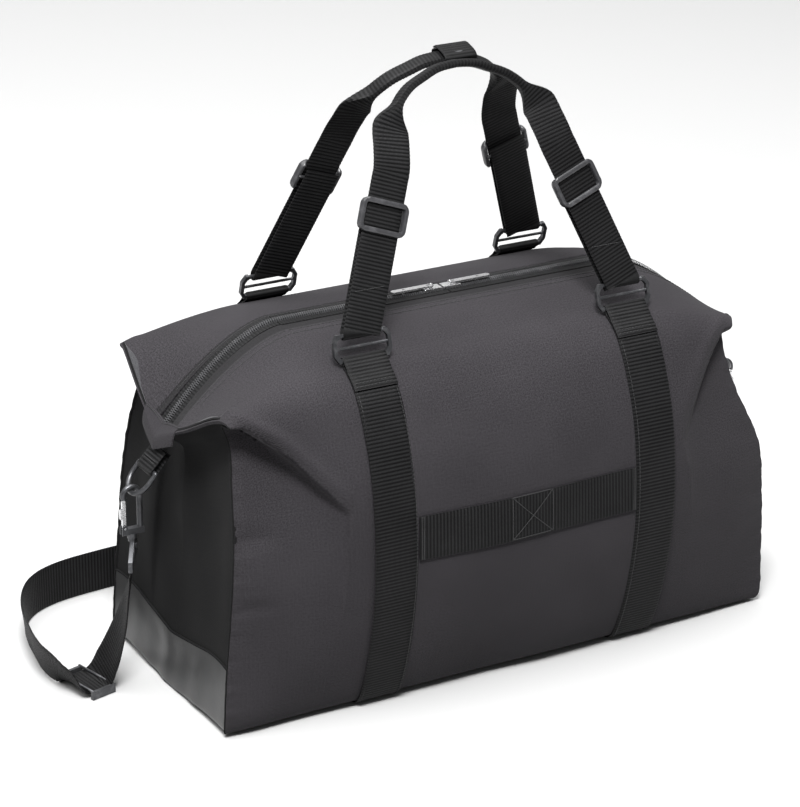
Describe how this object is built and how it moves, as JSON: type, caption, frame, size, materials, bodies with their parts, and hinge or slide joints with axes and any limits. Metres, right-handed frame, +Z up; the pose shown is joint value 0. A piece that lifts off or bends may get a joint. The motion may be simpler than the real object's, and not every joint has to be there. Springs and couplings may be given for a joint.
{
  "type": "weekender bag",
  "caption": "Soft weekender bag with a lengthwise zipped mouth, buckled webbing handles, end D-rings, an end pocket and a clip-on shoulder strap",
  "frame": {"origin": "on the floor under the middle of the bag, the shoulder strap and its adjuster left out", "axes": "+X along the bag towards the end with the pocket, front is -Y, +Z up"},
  "size_m": [0.6582, 0.3359, 0.5005],
  "materials": {
    "board": "stiff black plastic board",
    "coated": "smooth dark grey coated fabric, softly shiny",
    "fabric": "charcoal two-tone polyester twill with a faint warm cast",
    "gusset_fabric": "near-black plain woven polyester",
    "plastic": "dark grey moulded acetal",
    "satin_metal": "satin gunmetal paint",
    "steel": "polished nickel plate",
    "webbing": "black ribbed polypropylene webbing",
    "zip": "black nylon coil on woven tape"
  },
  "bodies": {
    "bag": {"base_board": "board", "bottom_panel": "fabric", "front_panel": "fabric", "rear_panel": "fabric", "left_gusset": "gusset_fabric", "right_gusset": "gusset_fabric", "left_end_band": "coated", "right_end_band": "coated", "left_top_end": "fabric", "right_top_end": "fabric", "left_body_strap": "webbing", "right_body_strap": "webbing", "front_cross_webbing": "webbing", "strap_loops": "webbing", "left_zip_end": "zip", "right_zip_end": "zip", "left_end_tab": "fabric", "right_end_tab": "fabric", "left_ring_tab": "webbing", "right_ring_tab": "webbing", "left_eye": "satin_metal", "right_eye": "satin_metal", "right_pocket_panel": "gusset_fabric", "right_pocket_zip": "zip", "shoulder_strap": "webbing", "strap_buckle": "plastic"},
    "wrap_flap": {"wrap_flap": "webbing", "press_stud": "satin_metal"},
    "front_flap": {"front_mouth_flap": "fabric", "front_zip_half": "zip"},
    "rear_flap": {"rear_mouth_flap": "fabric", "rear_zip_half": "zip"},
    "left_slider": {"left_zip_slider": "steel"},
    "right_slider": {"right_zip_slider": "steel"},
    "left_pull": {"left_zip_pull": "steel"},
    "right_pull": {"right_zip_pull": "steel"},
    "front_ring_pair": {"front_rings": "satin_metal"},
    "rear_ring_pair": {"rear_rings": "satin_metal"},
    "front_handle": {"front_handle": "webbing", "front_handle_loops": "webbing"},
    "rear_handle": {"rear_handle": "webbing", "rear_handle_loops": "webbing", "grip_wrap": "webbing"},
    "front_left_buckle": {"front_left_buckle": "plastic"},
    "front_right_buckle": {"front_right_buckle": "plastic"},
    "rear_left_buckle": {"rear_left_buckle": "plastic"},
    "rear_right_buckle": {"rear_right_buckle": "plastic"},
    "left_d_ring": {"left_d_ring": "satin_metal"},
    "right_d_ring": {"right_d_ring": "satin_metal"},
    "left_hook": {"left_hook": "satin_metal"},
    "right_hook": {"right_hook": "satin_metal"},
    "left_gate": {"left_hook_gate": "steel"},
    "right_gate": {"right_hook_gate": "steel"},
    "pocket_slider": {"right_pocket_slider": "steel"},
    "pocket_pull": {"right_pocket_pull": "steel"}
  },
  "joints": [
    {"name": "front_flap_hinge", "type": "hinge", "parent": "bag", "child": "front_flap", "pos_m": [0, -0.07, 0.289], "axis": [1, 0, 0], "range_deg": [0, 60]},
    {"name": "rear_flap_hinge", "type": "hinge", "parent": "bag", "child": "rear_flap", "pos_m": [0, 0.07, 0.289], "axis": [-1, 0, 0], "range_deg": [0, 60]},
    {"name": "left_slider_slide", "type": "slide", "parent": "bag", "child": "left_slider", "axis": [-1, 0, 0], "range_m": [0, 0.13]},
    {"name": "right_slider_slide", "type": "slide", "parent": "bag", "child": "right_slider", "axis": [1, 0, 0], "range_m": [0, 0.138]},
    {"name": "left_pull_swing", "type": "hinge", "parent": "left_slider", "child": "left_pull", "pos_m": [-0.013, 0, 0.3049], "axis": [0, 1, 0], "range_deg": [0, 120]},
    {"name": "right_pull_swing", "type": "hinge", "parent": "right_slider", "child": "right_pull", "pos_m": [0.005, 0, 0.3049], "axis": [0, -1, 0], "range_deg": [0, 120]},
    {"name": "front_ring_hinge", "type": "hinge", "parent": "bag", "child": "front_ring_pair", "pos_m": [0, -0.0826, 0.2908], "axis": [1, 0, 0], "range_deg": [0, 110]},
    {"name": "rear_ring_hinge", "type": "hinge", "parent": "bag", "child": "rear_ring_pair", "pos_m": [0, 0.0826, 0.2908], "axis": [-1, 0, 0], "range_deg": [0, 110]},
    {"name": "front_handle_hinge", "type": "hinge", "parent": "front_ring_pair", "child": "front_handle", "pos_m": [0, -0.0772, 0.30902], "axis": [1, 0, 0], "range_deg": [0, 52]},
    {"name": "rear_handle_hinge", "type": "hinge", "parent": "rear_ring_pair", "child": "rear_handle", "pos_m": [0, 0.0772, 0.30902], "axis": [-1, 0, 0], "range_deg": [0, 52]},
    {"name": "front_left_buckle_slide", "type": "slide", "parent": "front_handle", "child": "front_left_buckle", "axis": [0.3487, 0.2662, 0.8987], "range_m": [-0.045, 0.018]},
    {"name": "rear_left_buckle_slide", "type": "slide", "parent": "rear_handle", "child": "rear_left_buckle", "axis": [0.3487, -0.2662, 0.8987], "range_m": [-0.045, 0.018]},
    {"name": "front_right_buckle_slide", "type": "slide", "parent": "front_handle", "child": "front_right_buckle", "axis": [-0.3487, 0.2662, 0.8987], "range_m": [-0.045, 0.018]},
    {"name": "rear_right_buckle_slide", "type": "slide", "parent": "rear_handle", "child": "rear_right_buckle", "axis": [-0.3487, -0.2662, 0.8987], "range_m": [-0.045, 0.018]},
    {"name": "wrap_flap_hinge", "type": "hinge", "parent": "rear_handle", "child": "wrap_flap", "pos_m": [0, 0.0185, 0.49876], "axis": [-1, 0, 0], "range_deg": [0, 110]},
    {"name": "left_d_ring_hinge", "type": "hinge", "parent": "bag", "child": "left_d_ring", "pos_m": [-0.27, 0, 0.196], "axis": [0, -1, 0], "range_deg": [0, 5]},
    {"name": "right_d_ring_hinge", "type": "hinge", "parent": "bag", "child": "right_d_ring", "pos_m": [0.27, 0, 0.196], "axis": [0, 1, 0], "range_deg": [0, 5]},
    {"name": "left_hook_swivel", "type": "hinge", "parent": "bag", "child": "left_hook", "pos_m": [-0.28478, 0, 0.13], "axis": [0, 0, 1], "range_deg": [-15, 15]},
    {"name": "right_hook_swivel", "type": "hinge", "parent": "bag", "child": "right_hook", "pos_m": [0.28478, 0, 0.13], "axis": [0, 0, 1], "range_deg": [-15, 15]},
    {"name": "left_gate_hinge", "type": "hinge", "parent": "left_hook", "child": "left_gate", "pos_m": [-0.29178, 0, 0.14888], "axis": [0, 1, 0], "range_deg": [0, 24], "stiffness_Nm_per_rad": 0.02, "springref_deg": -22.92},
    {"name": "right_gate_hinge", "type": "hinge", "parent": "right_hook", "child": "right_gate", "pos_m": [0.29178, 0, 0.14888], "axis": [0, -1, 0], "range_deg": [0, 24], "stiffness_Nm_per_rad": 0.02, "springref_deg": -22.92},
    {"name": "pocket_slider_slide", "type": "slide", "parent": "bag", "child": "pocket_slider", "axis": [0.0764, 0.0278, -0.9967], "range_m": [0, 0.06]},
    {"name": "pocket_pull_swing", "type": "hinge", "parent": "pocket_slider", "child": "pocket_pull", "pos_m": [0.25825, -0.0858, 0.0995], "axis": [0.0021, -0.9996, -0.0278], "range_deg": [0, 130]}
  ],
  "couplings": [
    {"joint": "rear_flap_hinge", "follows": "front_flap_hinge", "ratio": 1},
    {"joint": "left_slider_slide", "follows": "front_flap_hinge", "m_per_rad": 0.12414},
    {"joint": "right_slider_slide", "follows": "front_flap_hinge", "m_per_rad": 0.13178}
  ]
}
